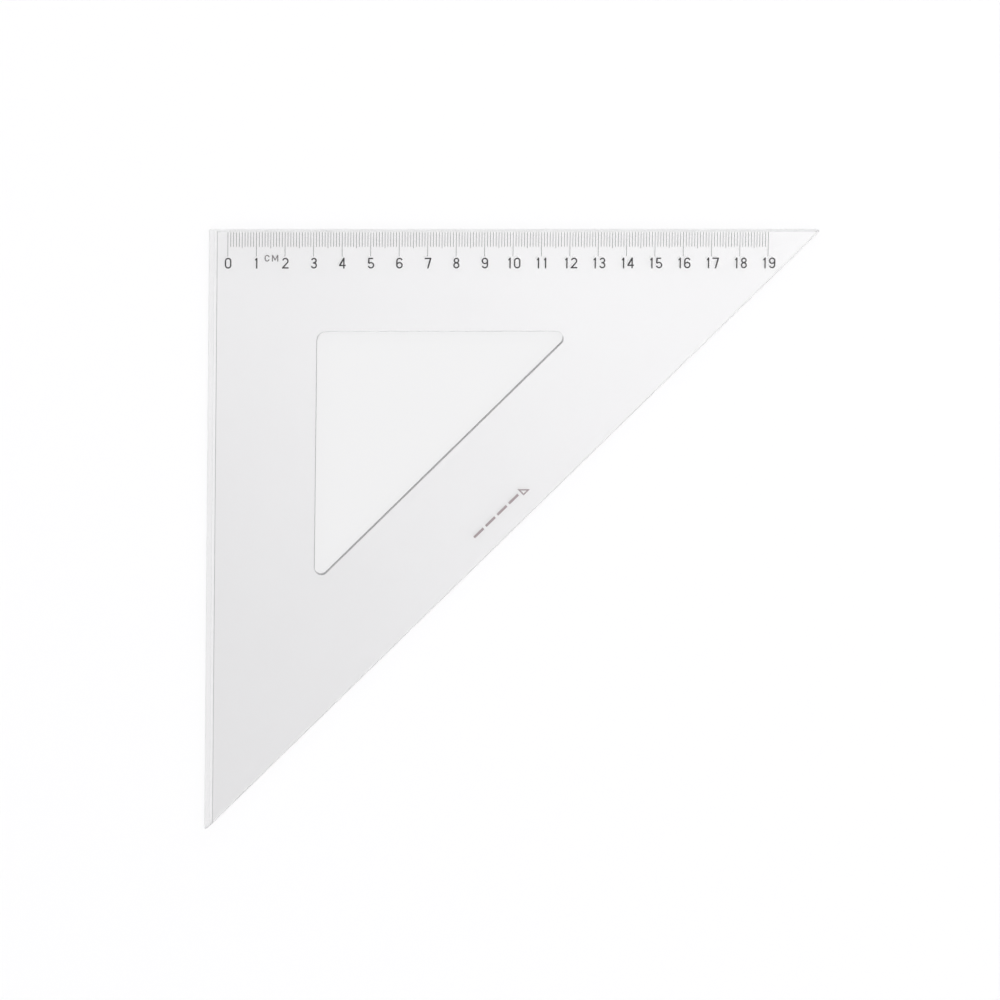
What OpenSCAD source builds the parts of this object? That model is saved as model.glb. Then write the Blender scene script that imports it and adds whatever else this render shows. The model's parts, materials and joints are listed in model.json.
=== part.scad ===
// A clear plastic 45 degree set square with a printed centimetre scale along one leg.
// It lies flat, and its underside is at Z = 0. +X runs along the graduated leg and -Y along the
// plain leg. The origin is the middle of the base's box, just inside the middle of the hypotenuse.

/* [Plate] */
// Length of each leg
leg = 215; // [215:1:260]
// Thickness of the plate
plate_t = 3; // [2:0.1:4]
// Width of the bevel along the plain leg
bevel_w = 2.7; // [1:0.1:3.5]
// How far that bevel falls at the edge
bevel_drop = 1.2; // [0.4:0.1:1.6]
// Width and fall of the narrow chamfer along the graduated leg
chamfer = 0.5; // [0.2:0.1:0.6]
// Radius of the plate's three outer corners
tip_r = 0.4; // [0.2:0.1:1]

/* [Cut-out] */
// Distance from the plain leg to the cut-out
plain_margin = 38; // [30:0.5:42]
// Distance from the graduated leg to the cut-out
scale_margin = 36.1; // [30:0.1:42]
// Length of each leg of the cut-out, to its unrounded corners
cutout_leg = 90; // [60:0.1:100]
// Radius of the cut-out's right-angled corner
square_corner_r = 3.3; // [2:0.1:6]
// Radius of the cut-out's two acute corners
acute_corner_r = 2.4; // [2:0.1:5]

/* [Scale] */
// Last centimetre on the scale
scale_cm = 19; // [10:1:19]
// Distance from the plain leg to the zero line
zero_inset = 6.4; // [5:0.1:7]
// Width of a printed line
line_w = 0.14; // [0.08:0.01:0.3]
// Distance from the graduated edge to where the lines start
line_start = 0.65; // [0.6:0.05:2]
// Distance from the graduated edge to the end of a millimetre line
mm_line_end = 5.8; // [4:0.1:6]
// Distance from the graduated edge to the end of a half-centimetre line
half_line_end = 6.3; // [6:0.1:7.5]
// Distance from the graduated edge to the end of a centimetre line
cm_line_end = 9.2; // [7.5:0.1:9.4]
// Thickness of the ink
ink_t = 0.03; // [0.02:0.01:0.05]

/* [Numerals] */
// Distance from the graduated edge to the top of the numerals
numeral_inset = 9.7; // [9.5:0.1:10.6]
// Height of a digit
digit_h = 3.8; // [3:0.1:4.2]
// Width of a digit
digit_w = 2.3; // [2:0.1:2.4]
// Width of a digit's stroke
digit_stroke = 0.48; // [0.3:0.02:0.5]
// Distance between the middles of the two digits of a pair
digit_pitch = 2.5; // [2.45:0.05:2.8]
// How far to the right of its line a numeral is printed
numeral_shift = 0.14; // [0:0.01:0.3]
// How much further to the right a pair of digits is printed
pair_shift = 0.13; // [0:0.01:0.3]

/* [Unit letters] */
// Distance from the zero line to the letter C
unit_inset = 12.9; // [12.5:0.1:13.5]
// Distance from the graduated edge to the top of the letters
unit_top = 8.7; // [7.8:0.1:9.4]
// Height of the letters
unit_h = 2.3; // [1.6:0.1:2.4]
// Width of the letter C
c_w = 1.7; // [1.2:0.1:1.8]
// Width of the letter M
m_w = 2.2; // [1.6:0.1:2.2]
// Gap between the two letters
unit_gap = 0.85; // [0.6:0.05:1.2]
// Width of the letters' stroke
unit_stroke = 0.34; // [0.2:0.02:0.36]

/* [Plain mark] */
// Length of the plain mark along the hypotenuse
mark_len = 26; // [18:1:30]
// Height of the mark's triangle
mark_h = 3.2; // [2.4:0.1:4]
// Distance from the hypotenuse to the middle of the mark
mark_inset = 8; // [6:0.5:14]
// How far the mark lies towards the graduated leg from the hypotenuse's middle
mark_shift = 2.2; // [0:0.1:10]
// Width of the stroke round the triangle
mark_stroke = 0.5; // [0.3:0.02:0.6]
// Number of short bars beside the triangle
mark_bars = 4; // [2:1:5]
// Height of a bar
bar_h = 0.9; // [0.4:0.1:2]
// Gap between two bars, and between the last bar and the triangle
bar_gap = 1.1; // [0.6:0.1:2]

/* [Hidden] */
$fn = 96;

MM_PER_CM = 10;
HALF = MM_PER_CM / 2;
ACUTE = 45;
// How far cutting shapes run past what they cut
PAST = 1;
// How far a corner's arc laps over the straight edges beside it, so that they cross cleanly
LAP = 0.002;
// The length of the base's box: the rounded tips end a little short of the true corners
reach = leg + tip_r - tip_r / tan(ACUTE / 2);
// The upper and lower rings of a 3 and an 8: the upper is a little smaller, and their strokes
// overlap over most of the stroke's width
RING_RATIO = 0.92;
RING_OVERLAP = 0.8 * digit_stroke;
lower_r = (digit_h + RING_OVERLAP) / (2 * (1 + RING_RATIO));
upper_r = RING_RATIO * lower_r;
// Where the open bowls of a 2, a 3 and a 5 stop on the left, counted from +X
BOWL_END = 165;
// Where the hook of a 6 stops on the right
HOOK_END = 18;
// The level width of a slanting stroke
SLANT_W = 1.1 * digit_stroke;
// Straight pieces in the outline that cuts an arc out of a ring
ARC_STEPS = 8;

clear = [0.93, 0.94, 0.95, 0.4];
ink_black = [0.13, 0.12, 0.13];
ink_grey = [0.45, 0.43, 0.44];
ink_brown = [0.44, 0.38, 0.37];

// Moves what is drawn from the outer right-angled corner to the row's origin
module from_corner() {
    translate([-reach / 2, reach / 2, 0]) children();
}

// Prints a flat shape on the plate's upper face
module print_on_plate() {
    from_corner() translate([0, 0, plate_t]) linear_extrude(ink_t) children();
}

// ---- Flat shapes ----

// A right triangle with its square corner at the origin, one leg along +X and one along -Y. The
// outline joins the points where the arc in each corner meets the straight edges.
module rounded_triangle(side, square_r, acute_r) {
    acute_run = acute_r / tan(ACUTE / 2);
    slant_run = acute_run * sin(ACUTE);
    polygon([
        [square_r, 0], [0, -square_r],
        [0, acute_run - side], [slant_run, slant_run - side],
        [side - slant_run, -slant_run], [side - acute_run, 0]
    ]);
    translate([square_r, -square_r]) circle(square_r + LAP);
    translate([side - acute_run, -acute_r]) circle(acute_r + LAP);
    translate([acute_r, acute_run - side]) circle(acute_r + LAP);
}

// A straight stroke of width s between two points, with square ends
module bar(p, q, s) {
    d = q - p;
    translate(p) rotate(atan2(d.y, d.x)) translate([0, -s / 2]) square([norm(d), s]);
}

// A ring of outer radius r and stroke s
module ring(r, s) {
    difference() {
        circle(r);
        circle(r - s);
    }
}

// The part of such a ring between two angles, counted anticlockwise from +X
module arc(r, s, from, to) {
    step = (to - from) / ARC_STEPS;
    rim = [for (i = [0 : ARC_STEPS]) 2 * r * [cos(from + i * step), sin(from + i * step)]];
    intersection() {
        ring(r, s);
        polygon(concat([[0, 0]], rim));
    }
}

// An upright oval with straight sides and round ends, standing on the X axis
module oval(w, h) {
    translate([0, w / 2]) circle(d = w);
    translate([0, h - w / 2]) circle(d = w);
    translate([-w / 2, w / 2]) square([w, h - w]);
}

// ---- Digits, each standing on the X axis and centred on the Y axis ----

module digit_0() {
    difference() {
        oval(digit_w, digit_h);
        translate([0, digit_stroke]) oval(digit_w - 2 * digit_stroke, digit_h - 2 * digit_stroke);
    }
}

module digit_1() {
    s = digit_stroke;
    // A flag slopes down to the left from the top of the stem, and thins as it goes
    flag_out = 0.28 * digit_w;
    flag_fall = 1.3 * s;
    flag_end = 0.8 * s;
    flag_root = 1.7 * s;
    translate([-s / 2, 0]) square([s, digit_h]);
    polygon([
        [-s / 4, digit_h], [-flag_out, digit_h - flag_fall],
        [-flag_out, digit_h - flag_fall - flag_end], [-s / 4, digit_h - flag_root]
    ]);
}

module digit_2() {
    s = digit_stroke;
    r = digit_w / 2;
    centre = [0, digit_h - r];
    foot = [s / 2 - r, s / 2];
    // The slanting stroke leaves the bowl along a tangent
    down = foot - centre;
    leave = atan2(down.y, down.x) + acos((r - s / 2) / norm(down));
    translate(centre) arc(r, s, leave - PAST, BOWL_END);
    bar(centre + (r - s / 2) * [cos(leave), sin(leave)], foot, s);
    translate([-r, 0]) square([digit_w, s]);
}

module digit_3() {
    s = digit_stroke;
    tongue = 0.15 * digit_w;
    translate([0, digit_h - upper_r]) arc(upper_r, s, -90, BOWL_END);
    translate([0, lower_r]) arc(lower_r, s, -BOWL_END, 90);
    translate([-tongue, 2 * lower_r - RING_OVERLAP / 2 - s / 2]) square([tongue + s / 4, s]);
}

module digit_4() {
    s = digit_stroke;
    stem = 0.22 * digit_w;
    shelf = 0.22 * digit_h;
    slant_root = 1.5 * s;
    translate([stem - s / 2, 0]) square([s, digit_h]);
    translate([-digit_w / 2, shelf]) square([digit_w, s]);
    polygon([
        [-digit_w / 2, shelf + s / 2], [SLANT_W - digit_w / 2, shelf + s / 2],
        [stem, digit_h - slant_root], [stem, digit_h],
        [stem - s / 2, digit_h], [-digit_w / 2, shelf + s]
    ]);
}

module digit_5() {
    s = digit_stroke;
    r = digit_w / 2;
    // The wall's left edge, its foot on the outside and the inside, and the lean between them
    side = 0.82 * r;
    foot = 0.46 * digit_h;
    inner_foot = 0.5 * digit_h;
    lean = s / 3;
    bar_len = 1.75 * side;
    bowl_start = 140;
    translate([-side, digit_h - s]) square([bar_len, s]);
    polygon([
        [-side, digit_h], [-side - lean, foot],
        [-side + s - lean / 2, inner_foot], [s - side, digit_h]
    ]);
    translate([0, r]) arc(r, s, -BOWL_END, bowl_start);
}

module digit_6() {
    s = digit_stroke;
    r = digit_w / 2;
    translate([0, digit_h - r]) arc(r, s, HOOK_END, 180);
    translate([-r, r]) square([s, digit_h - digit_w]);
    translate([0, r]) ring(r, s);
}

module digit_7() {
    s = digit_stroke;
    foot = 0.1 * digit_w;
    translate([-digit_w / 2, digit_h - s]) square([digit_w, s]);
    polygon([
        [digit_w / 2 - SLANT_W, digit_h - s / 2], [foot - SLANT_W, 0],
        [foot, 0], [digit_w / 2, digit_h - s], [digit_w / 2, digit_h - s / 2]
    ]);
}

module digit_8() {
    translate([0, digit_h - upper_r]) ring(upper_r, digit_stroke);
    translate([0, lower_r]) ring(lower_r, digit_stroke);
}

module digit_9() {
    translate([0, digit_h]) rotate(180) digit_6();
}

module digit(n) {
    if (n == 0) digit_0();
    if (n == 1) digit_1();
    if (n == 2) digit_2();
    if (n == 3) digit_3();
    if (n == 4) digit_4();
    if (n == 5) digit_5();
    if (n == 6) digit_6();
    if (n == 7) digit_7();
    if (n == 8) digit_8();
    if (n == 9) digit_9();
}

// ---- Sub-parts ----

// The clear plate, with its cut-out, the bevel on the plain leg and the chamfer on the graduated leg
module plate() {
    color(clear) from_corner() difference() {
        linear_extrude(plate_t) difference() {
            rounded_triangle(leg, tip_r, tip_r);
            translate([plain_margin, -scale_margin])
                rounded_triangle(cutout_leg, square_corner_r, acute_corner_r);
        }
        edge_cut(bevel_w, bevel_drop, leg);
        mirror([1, 1, 0]) edge_cut(chamfer, chamfer, leg);
    }
}

// What a sloping edge of width w and fall d takes off along the plain leg
module edge_cut(w, d, length) {
    slope = d / w;
    translate([0, PAST, plate_t]) rotate([90, 0, 0]) linear_extrude(length + 2 * PAST)
        polygon([[-PAST, -d - PAST * slope], [w, 0], [w, PAST], [-PAST, PAST]]);
}

// One printed line across the graduated edge
module scale_line(mm, end) {
    translate([zero_inset + mm - line_w / 2, -end]) square([line_w, end - line_start]);
}

module millimetre_lines() {
    color(ink_black) print_on_plate()
        for (mm = [0 : scale_cm * MM_PER_CM]) if (mm % HALF != 0) scale_line(mm, mm_line_end);
}

module half_centimetre_lines() {
    color(ink_black) print_on_plate()
        for (cm = [0 : scale_cm - 1]) scale_line(cm * MM_PER_CM + HALF, half_line_end);
}

module centimetre_lines() {
    color(ink_black) print_on_plate()
        for (cm = [0 : scale_cm]) scale_line(cm * MM_PER_CM, cm_line_end);
}

// The numeral under one centimetre line, of one digit or two
module numeral(n) {
    tens = floor(n / 10);
    middle = zero_inset + n * MM_PER_CM + numeral_shift + (tens > 0 ? pair_shift : 0);
    spread = tens > 0 ? digit_pitch / 2 : 0;
    color(ink_black) print_on_plate() translate([middle, -numeral_inset - digit_h]) {
        if (tens > 0) translate([-spread, 0]) digit(tens);
        translate([spread, 0]) digit(n % 10);
    }
}

// The small letters C and M between the first two centimetre lines
module unit_letters() {
    s = unit_stroke;
    color(ink_grey) print_on_plate() translate([zero_inset + unit_inset, -unit_top - unit_h]) {
        // C: an oval with a gap in its right side
        gap = unit_h / 3;
        difference() {
            translate([c_w / 2, 0]) difference() {
                oval(c_w, unit_h);
                translate([0, s]) oval(c_w - 2 * s, unit_h - 2 * s);
            }
            translate([c_w / 2, (unit_h - gap) / 2]) square([c_w, gap]);
        }
        // M: two stems and the V between them, whose strokes are v tall where they are cut upright
        v = 2 * s;
        foot = 0.1 * unit_h;
        translate([c_w + unit_gap, 0]) polygon([
            [0, 0], [s, 0], [s, unit_h - v], [m_w / 2, foot],
            [m_w - s, unit_h - v], [m_w - s, 0], [m_w, 0], [m_w, unit_h],
            [m_w - s, unit_h], [m_w / 2, foot + v], [s, unit_h], [0, unit_h]
        ]);
    }
}

// A plain wordless mark beside the hypotenuse: a row of short bars and a small outlined triangle
module plain_mark() {
    // The outline is mark_stroke wide on all three sides
    s = mark_stroke;
    inner = mark_h - s * (1 + sqrt(2));
    bar_pitch = (mark_len - mark_h) / mark_bars;
    color(ink_brown) print_on_plate() translate([leg / 2, -leg / 2]) rotate(ACUTE)
        translate([mark_shift - mark_len / 2, mark_inset]) {
            for (i = [0 : mark_bars - 1])
                translate([i * bar_pitch, -bar_h / 2]) square([bar_pitch - bar_gap, bar_h]);
            translate([mark_len - mark_h, -mark_h / 2]) difference() {
                polygon([[0, 0], [mark_h, 0], [0, mark_h]]);
                polygon([[s, s], [inner, s], [s, inner]]);
            }
        }
}

plate();
millimetre_lines();
half_centimetre_lines();
centimetre_lines();
for (n = [0 : scale_cm]) numeral(n);
unit_letters();
plain_mark();
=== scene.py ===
"""A clear plastic 45 degree set square lying on a pale surface, in soft studio light.

Lengths are in metres. The graduated leg runs along X at the plate's high Y, the plain leg runs
along Y at its low X, and the hypotenuse joins their far ends.
"""

import json
import math

import bpy
from mathutils import Matrix, Vector


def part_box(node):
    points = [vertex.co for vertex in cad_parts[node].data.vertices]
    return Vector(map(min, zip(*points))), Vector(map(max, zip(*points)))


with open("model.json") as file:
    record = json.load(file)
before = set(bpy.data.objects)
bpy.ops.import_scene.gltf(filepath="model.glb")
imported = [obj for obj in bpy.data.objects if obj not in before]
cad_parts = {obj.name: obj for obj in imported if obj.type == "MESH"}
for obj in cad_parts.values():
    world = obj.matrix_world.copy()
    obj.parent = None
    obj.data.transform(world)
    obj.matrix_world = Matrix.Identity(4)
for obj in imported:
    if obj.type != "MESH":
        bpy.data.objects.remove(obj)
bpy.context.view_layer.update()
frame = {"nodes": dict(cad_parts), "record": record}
plate = frame["nodes"]["plate"]
plate_lo, plate_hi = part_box("plate")

scene = bpy.context.scene
scene.view_settings.view_transform = "Standard"


# ---- Node helpers ----

def new_material(name):
    """A material with an empty node tree, that tree, and its output node."""
    mat = bpy.data.materials.new(name)
    mat.use_nodes = True
    mat.node_tree.nodes.clear()
    out = mat.node_tree.nodes.new("ShaderNodeOutputMaterial")
    return mat, mat.node_tree, out


def node(tree, kind, inputs=None, **settings):
    """A node of this kind. An input's value is a number, a colour, or a socket to link."""
    made = tree.nodes.new("ShaderNode" + kind)
    for key, value in settings.items():
        setattr(made, key, value)
    for key, value in (inputs or {}).items():
        if isinstance(value, bpy.types.NodeSocket):
            tree.links.new(value, made.inputs[key])
        else:
            made.inputs[key].default_value = value
    return made


def math_node(tree, operation, a, b=0.0):
    """The result of this operation on a and b."""
    return node(tree, "Math", {0: a, 1: b}, operation=operation).outputs[0]


def product(tree, first, *others):
    """All these factors multiplied together."""
    for factor in others:
        first = math_node(tree, "MULTIPLY", first, factor)
    return first


def span(tree, value, low, high, to_low, to_high, smooth=True):
    """value's range low to high, mapped to to_low to to_high and held at both ends."""
    kind = "SMOOTHSTEP" if smooth else "LINEAR"
    made = node(
        tree, "MapRange", {"Value": value, "From Min": low, "From Max": high,
                           "To Min": to_low, "To Max": to_high},
        interpolation_type=kind)
    return made.outputs["Result"]


def mix(tree, factor, a, b):
    """The number a where factor is 0, and b where it is 1."""
    return node(tree, "Mix", {"Factor": factor, "A": a, "B": b}).outputs["Result"]


def blend(tree, factor, a, b):
    """The colour a where factor is 0, and b where it is 1."""
    return node(tree, "Mix", {0: factor, 6: a, 7: b}, data_type="RGBA").outputs[2]


def ramp(tree, value, first, last, start, end):
    """A colour that goes from first to last as value goes from start to end."""
    made = node(tree, "ValToRGB", {"Fac": value})
    for stop, place, colour in zip(made.color_ramp.elements, (start, end), (first, last)):
        stop.position = place
        stop.color = (*colour, 1)
    return made.outputs["Color"]


def noise(tree, place, scale, detail, roughness=0.5):
    """Noise of this scale at place, from 0 to 1."""
    made = node(tree, "TexNoise", {
        "Vector": place, "Scale": scale, "Detail": detail, "Roughness": roughness})
    return made.outputs["Fac"]


def bumps(tree, height, strength, distance):
    """The surface's normal, tilted by this height."""
    made = node(tree, "Bump", {"Height": height, "Strength": strength, "Distance": distance})
    return made.outputs["Normal"]


def pass_light(tree, shader, tint):
    """shader as it is seen, and a clear film of this tint for light on its way to the floor."""
    film = node(tree, "BsdfTransparent", {"Color": (*tint, 1)})
    path = node(tree, "LightPath")
    seen = node(tree, "MixShader", {
        0: path.outputs["Is Diffuse Ray"], 1: shader, 2: film.outputs[0]})
    either = node(tree, "MixShader", {
        0: path.outputs["Is Shadow Ray"], 1: seen.outputs[0], 2: film.outputs[0]})
    return either.outputs[0]


# ---- Clear plastic ----

# Noise mostly lies in this range
NOISE_LOW = 0.3
NOISE_HIGH = 0.7

# The upright part of the normal: below the first on a cut wall, between the other two on an eased
# arris. The arris along the bevel's ridge lies flatter than most.
WALL_BELOW = 0.6
ARRIS_FROM = 0.92
ARRIS_TO = 0.998
RIDGE_FROM = 0.94

# Where the cut-out's walls are: further in than this from every side of the plate
CUT_OUT_INSET = 0.02
# The painted shade on the cut-out's wall along the graduated leg lightens over this distance from
# that leg's edge
UPPER_DARK_AT = 0.0385
UPPER_PALE_AT = 0.0365
UPPER_PALE = 0.8
# and on its wall along the plain leg over this distance from the plain edge
LEFT_PALE_AT = 0.0384
LEFT_DARK_AT = 0.041
LEFT_PALE = 0.2
# The bevel's ridge lies this near the plain edge, and gets this much painted shade
RIDGE_WITHIN = 0.004
RIDGE_PAINTED_SHADE = 0.8

STREAK_SCALES = (300.0, 300.0, 4000.0)
HAZE_SCALE = 14.0
SMEAR_SCALE = 55.0
FINE_SCALE = 900.0
SMEAR_LOW = 0.42
SMEAR_HIGH = 0.72

FACE_DIM = (0.97, 0.969, 0.97)
FACE_CLEAR = (0.985, 0.984, 0.985)
PALE_DIM = (0.84, 0.84, 0.845)
PALE_BRIGHT = (0.94, 0.94, 0.945)
# Colour of the painted shade on the cut-out's walls and the bevel's ridge, dim to bright
PAINTED_SHADE_DIM = (0.2, 0.2, 0.205)
PAINTED_SHADE_BRIGHT = (0.33, 0.33, 0.335)

ACRYLIC_IOR = 1.49
FACE_ROUGH = (0.012, 0.05)
CUT_ROUGH = (0.28, 0.45)
FINE_STRENGTH = 0.02
FINE_HEIGHT = 0.00002
# How much light a cut surface lets through, and how many reflections leave the sheet clear
CUT_SENT = 0.3
CAUGHT_AFTER = 2.5
PLATE_PASSES = (0.968, 0.967, 0.969)


def clear_plastic():
    """Polished faces, with satin walls and arrises where the sheet was cut, and painted shade on
    the cut-out's walls and the bevel's ridge.
    """
    mat, tree, out = new_material("clear_plastic")
    place = node(tree, "TexCoord").outputs["Object"]
    spot = node(tree, "SeparateXYZ", {0: place})
    spot_x, spot_y = spot.outputs["X"], spot.outputs["Y"]
    facing = node(tree, "SeparateXYZ", {0: node(tree, "NewGeometry").outputs["True Normal"]})
    tilt = math_node(tree, "ABSOLUTE", facing.outputs["Z"])

    # What the surface is: a cut wall or an eased arris
    wall = math_node(tree, "LESS_THAN", tilt, WALL_BELOW)
    arris = product(
        tree,
        math_node(tree, "GREATER_THAN", tilt, ARRIS_FROM),
        math_node(tree, "LESS_THAN", tilt, ARRIS_TO))
    cut = math_node(tree, "MAXIMUM", wall, arris)

    # The cut-out's walls get painted shade: most on its slanting side, less along the plain leg,
    # and least along the graduated leg. The ridge of the bevel gets a painted dark line too. The
    # other edges are polished paler.
    slant = math_node(tree, "SUBTRACT", spot_x, spot_y)
    inner = product(
        tree,
        math_node(tree, "GREATER_THAN", spot_x, plate_lo.x + CUT_OUT_INSET),
        math_node(tree, "LESS_THAN", spot_y, plate_hi.y - CUT_OUT_INSET),
        math_node(tree, "LESS_THAN", slant, -CUT_OUT_INSET))
    by_upper = span(
        tree, spot_y, plate_hi.y - UPPER_DARK_AT, plate_hi.y - UPPER_PALE_AT, 0.0, UPPER_PALE)
    by_left = span(
        tree, spot_x, plate_lo.x + LEFT_PALE_AT, plate_lo.x + LEFT_DARK_AT, LEFT_PALE, 0.0)
    painted_wall_shade = math_node(tree, "SUBTRACT", 1.0, math_node(tree, "MAXIMUM", by_upper, by_left))
    ridge = product(
        tree,
        math_node(tree, "GREATER_THAN", tilt, RIDGE_FROM),
        math_node(tree, "LESS_THAN", spot_x, plate_lo.x + RIDGE_WITHIN))
    painted_shade = math_node(
        tree, "MAXIMUM", product(tree, inner, painted_wall_shade), product(tree, ridge, RIDGE_PAINTED_SHADE))

    # Saw and polishing marks along the walls, a faint haze and fingertip smears on the faces
    stretched = node(tree, "VectorMath", {0: place, 1: STREAK_SCALES}, operation="MULTIPLY")
    streaks = noise(tree, stretched.outputs[0], 1.0, 3.0)
    haze = noise(tree, place, HAZE_SCALE, 3.0)
    smear = noise(tree, place, SMEAR_SCALE, 5.0, 0.62)
    fine = noise(tree, place, FINE_SCALE, 2.0)

    face_colour = ramp(tree, haze, FACE_DIM, FACE_CLEAR, NOISE_LOW, NOISE_HIGH)
    pale_colour = ramp(tree, streaks, PALE_DIM, PALE_BRIGHT, NOISE_LOW, NOISE_HIGH)
    # Painted shade for the cut-out's walls and the ridge, streaked like the walls
    painted_shade_colour = ramp(tree, streaks, PAINTED_SHADE_DIM, PAINTED_SHADE_BRIGHT, NOISE_LOW, NOISE_HIGH)
    colour = blend(tree, cut, face_colour, blend(tree, painted_shade, pale_colour, painted_shade_colour))
    face_rough = span(tree, smear, SMEAR_LOW, SMEAR_HIGH, *FACE_ROUGH)
    cut_rough = span(tree, streaks, NOISE_LOW, NOISE_HIGH, *CUT_ROUGH)

    # Light that is caught inside the sheet comes out pale from the fine scratches
    bounced = node(tree, "LightPath").outputs["Glossy Depth"]
    free = math_node(tree, "LESS_THAN", bounced, CAUGHT_AFTER)
    sent = product(tree, free, span(tree, cut, 0.0, 1.0, 1.0, CUT_SENT, smooth=False))

    glass = node(tree, "BsdfPrincipled", {
        "Base Color": colour, "Roughness": mix(tree, cut, face_rough, cut_rough),
        "IOR": ACRYLIC_IOR, "Transmission Weight": sent,
        "Normal": bumps(tree, fine, FINE_STRENGTH, FINE_HEIGHT)})
    tree.links.new(pass_light(tree, glass.outputs[0], PLATE_PASSES), out.inputs["Surface"])
    return mat


# ---- Printing ink ----

# Each ink's full colour, and its colour where it is worn
INK_COLOURS = {
    "black_ink": ((0.012, 0.011, 0.012), (0.035, 0.03, 0.033)),
    "grey_ink": ((0.1, 0.09, 0.095), (0.17, 0.155, 0.16)),
    "brown_ink": ((0.3, 0.245, 0.255), (0.42, 0.36, 0.37)),
}
GRAIN_SCALE = 2600.0
WORN_LOW = 0.35
WORN_HIGH = 0.75
INK_ROUGH = (0.38, 0.6)
GRAIN_STRENGTH = 0.1
GRAIN_HEIGHT = 0.00001
INK_PASSES = (0.8, 0.8, 0.8)


def printed_ink(name, colour, worn):
    """Grainy ink of this colour, with worn specks."""
    mat, tree, out = new_material(name)
    place = node(tree, "TexCoord").outputs["Object"]
    grain = noise(tree, place, GRAIN_SCALE, 3.0)
    ink = node(tree, "BsdfPrincipled", {
        "Base Color": ramp(tree, grain, colour, worn, WORN_LOW, WORN_HIGH),
        "Roughness": span(tree, grain, NOISE_LOW, NOISE_HIGH, *INK_ROUGH),
        "Normal": bumps(tree, grain, GRAIN_STRENGTH, GRAIN_HEIGHT)})
    tree.links.new(pass_light(tree, ink.outputs[0], INK_PASSES), out.inputs["Surface"])
    return mat


# ---- The set square ----

# The plate's arc facets that are closer than this are joined, so that the arris stays clean
WELD_WITHIN = 0.00015
FLAT_ANGLE = math.radians(0.05)
ARRIS_WIDTH = 0.00012
ARRIS_SEGMENTS = 2
SHARP_ANGLE = math.radians(15)


def dress(obj, mat):
    """Put this material alone on the object."""
    obj.data.materials.clear()
    obj.data.materials.append(mat)


dress(plate, clear_plastic())
inks = {name: printed_ink(name, *colours) for name, colours in INK_COLOURS.items()}
for part in frame["record"]["subparts"]:
    if part["material_slot"] in inks:
        dress(frame["nodes"][part["node"]], inks[part["material_slot"]])

weld = plate.modifiers.new("closed", "WELD")
weld.merge_threshold = WELD_WITHIN
flats = plate.modifiers.new("whole_flats", "DECIMATE")
flats.decimate_type = "DISSOLVE"
flats.angle_limit = FLAT_ANGLE
bevel = plate.modifiers.new("eased_edges", "BEVEL")
bevel.width = ARRIS_WIDTH
bevel.segments = ARRIS_SEGMENTS
bevel.limit_method = "ANGLE"
bevel.use_clamp_overlap = False
bevel.angle_limit = SHARP_ANGLE

# ---- Floor ----

FLOOR_HALF = 6.0
FLOOR_Z = -0.00015
PAPER_SCALE = 400.0
PAPER_ROUGH = (0.7, 0.9)
PAPER_SHEEN = 0.1
PAPER_OPEN = 0.93
# The painted shadow's paper tone under the set square, where X + Y is at the low and at the high
# limit; it is lighter towards +X and +Y
PAPER_SHADED = (0.81, 0.837)
SHADED_LOW = -0.1
SHADED_HIGH = 0.1
SHADE_EDGE = 0.0005
# Each leg, to the point where the edges would meet if the tips were sharp
LEG = 0.215


def pale_paper():
    """Pale paper with a painted shadow: a shade darker under the set square and in its cut-out.

    It is clear from below, so that the set square's underside can be seen.
    """
    mat, tree, out = new_material("pale_floor")
    place = node(tree, "TexCoord").outputs["Object"]
    spot = node(tree, "SeparateXYZ", {0: place})
    spot_x, spot_y = spot.outputs["X"], spot.outputs["Y"]
    slant = math_node(tree, "SUBTRACT", spot_x, spot_y)
    slant_end = plate_lo.x + LEG - plate_hi.y
    # The painted shadow covers the set square's outline and its cut-out, with soft edges
    painted_shadow = product(
        tree,
        span(tree, slant, slant_end, slant_end + SHADE_EDGE, 1.0, 0.0),
        span(tree, spot_x, plate_lo.x, plate_lo.x + SHADE_EDGE, 0.0, 1.0),
        span(tree, spot_y, plate_hi.y - SHADE_EDGE, plate_hi.y, 1.0, 0.0))
    # The painted shadow's tone, lighter towards +X and +Y
    across = math_node(tree, "ADD", spot_x, spot_y)
    painted_shadow_tone = span(tree, across, SHADED_LOW, SHADED_HIGH, *PAPER_SHADED, smooth=False)
    grain = noise(tree, place, PAPER_SCALE, 2.0)
    paper = node(tree, "BsdfPrincipled", {
        "Base Color": mix(tree, painted_shadow, PAPER_OPEN, painted_shadow_tone),
        "Roughness": span(tree, grain, NOISE_LOW, NOISE_HIGH, *PAPER_ROUGH),
        "Specular IOR Level": PAPER_SHEEN})
    clear = node(tree, "BsdfTransparent")
    below = node(tree, "NewGeometry").outputs["Backfacing"]
    both = node(tree, "MixShader", {0: below, 1: paper.outputs[0], 2: clear.outputs[0]})
    tree.links.new(both.outputs[0], out.inputs["Surface"])
    return mat


floor_mesh = bpy.data.meshes.new("floor")
floor_mesh.from_pydata(
    [(-FLOOR_HALF, -FLOOR_HALF, FLOOR_Z), (FLOOR_HALF, -FLOOR_HALF, FLOOR_Z),
     (FLOOR_HALF, FLOOR_HALF, FLOOR_Z), (-FLOOR_HALF, FLOOR_HALF, FLOOR_Z)],
    [], [(0, 1, 2, 3)])
floor_mesh.materials.append(pale_paper())
floor = bpy.data.objects.new("floor", floor_mesh)
scene.collection.objects.link(floor)

# ---- Light ----

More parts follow.
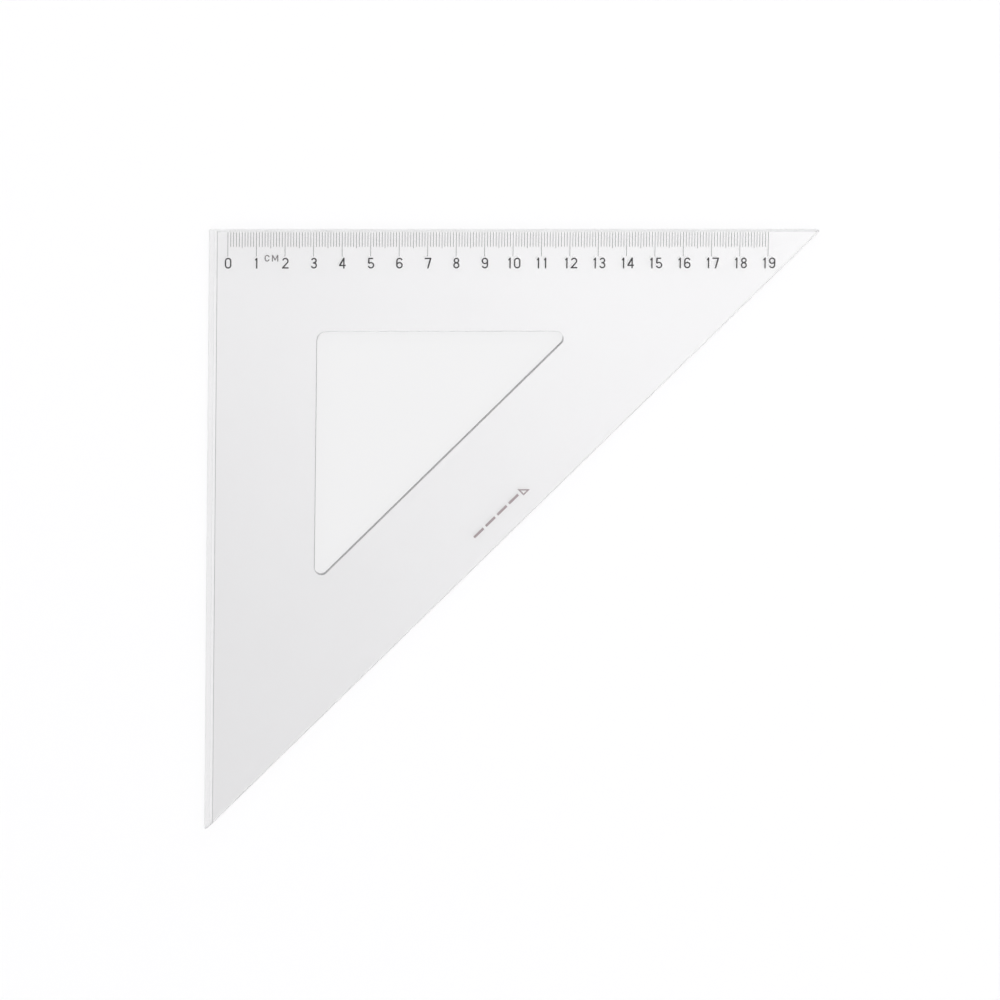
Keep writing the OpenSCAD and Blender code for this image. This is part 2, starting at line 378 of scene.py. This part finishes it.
# Pale walls that brighten up to a height, and a bright ceiling panel overhead that ends in a dark
# gap towards -X and -Y. The limits are parts of the direction that is looked in.
WALLS_LOW = 0.23
WALLS_HIGH = 0.88
WALLS_TOP = 0.6
OVERHEAD_FROM = 0.65
OVERHEAD_TO = 0.9
GAP = 0.05
PANEL = 2.52
GAP_ENDS = -0.21
PANEL_STARTS = 0.01
DIM_TINT = (0.985, 0.975, 1.0)
WHITE = (1.0, 1.0, 1.0)

world = bpy.data.worlds.new("studio")
scene.world = world
world.use_nodes = True
wtree = world.node_tree
background = wtree.nodes["Background"]
toward = node(wtree, "SeparateXYZ", {0: node(wtree, "TexCoord").outputs["Generated"]})
walls = span(wtree, toward.outputs["Z"], 0.0, WALLS_TOP, WALLS_LOW, WALLS_HIGH)
lean = math_node(wtree, "ADD", toward.outputs["X"], toward.outputs["Y"])
bright_side = span(wtree, lean, GAP_ENDS, PANEL_STARTS, 0.0, 1.0)
ceiling = span(wtree, bright_side, 0.0, 1.0, GAP, PANEL, smooth=False)
overhead = span(wtree, toward.outputs["Z"], OVERHEAD_FROM, OVERHEAD_TO, 0.0, 1.0)
wtree.links.new(mix(wtree, overhead, walls, ceiling), background.inputs["Strength"])
wtree.links.new(ramp(wtree, bright_side, DIM_TINT, WHITE, 0.0, 1.0), background.inputs["Color"])

KEY_PLACE = Vector((0.7, 0.65, 1.5))
KEY_AIM = Vector((0.05, 0.05, 0.0))
KEY_SIZE = 2.0
KEY_WATTS = 2.2

key_data = bpy.data.lights.new("key", "AREA")
key_data.shape = "SQUARE"
key_data.size = KEY_SIZE
key_data.energy = KEY_WATTS
key = bpy.data.objects.new("key", key_data)
scene.collection.objects.link(key)
key.location = KEY_PLACE
key.rotation_euler = (KEY_AIM - KEY_PLACE).to_track_quat("-Z", "Y").to_euler()

# ---- Camera ----

CAMERA_SIDE = math.radians(117.5)
CAMERA_RISE = math.radians(77.73)
CAMERA_ROLL = math.radians(0.879)
CAMERA_FAR = 2.8
LENS_MM = 286.1
SENSOR_MM = 36.0
CLIP_NEAR = 0.01
CLIP_FAR = 50.0
AIM = Vector((-0.00392, 0.01084, 0.0015))

back = Vector((
    math.cos(CAMERA_SIDE) * math.cos(CAMERA_RISE),
    math.sin(CAMERA_SIDE) * math.cos(CAMERA_RISE),
    math.sin(CAMERA_RISE)))
# Before the roll, the plain leg stands upright in the picture
right = Vector((0, 1, 0)).cross(back).normalized()
up = back.cross(right)
turned_right = math.cos(CAMERA_ROLL) * right + math.sin(CAMERA_ROLL) * up
turned_up = math.cos(CAMERA_ROLL) * up - math.sin(CAMERA_ROLL) * right
camera_data = bpy.data.cameras.new("camera")
camera_data.lens = LENS_MM
camera_data.sensor_width = SENSOR_MM
camera_data.clip_start = CLIP_NEAR
camera_data.clip_end = CLIP_FAR
camera = bpy.data.objects.new("camera", camera_data)
scene.collection.objects.link(camera)
axes = Matrix((turned_right, turned_up, back)).transposed()
camera.matrix_world = Matrix.Translation(AIM + back * CAMERA_FAR) @ axes.to_4x4()
scene.camera = camera

# ---- The end ----

bpy.context.view_layer.update()
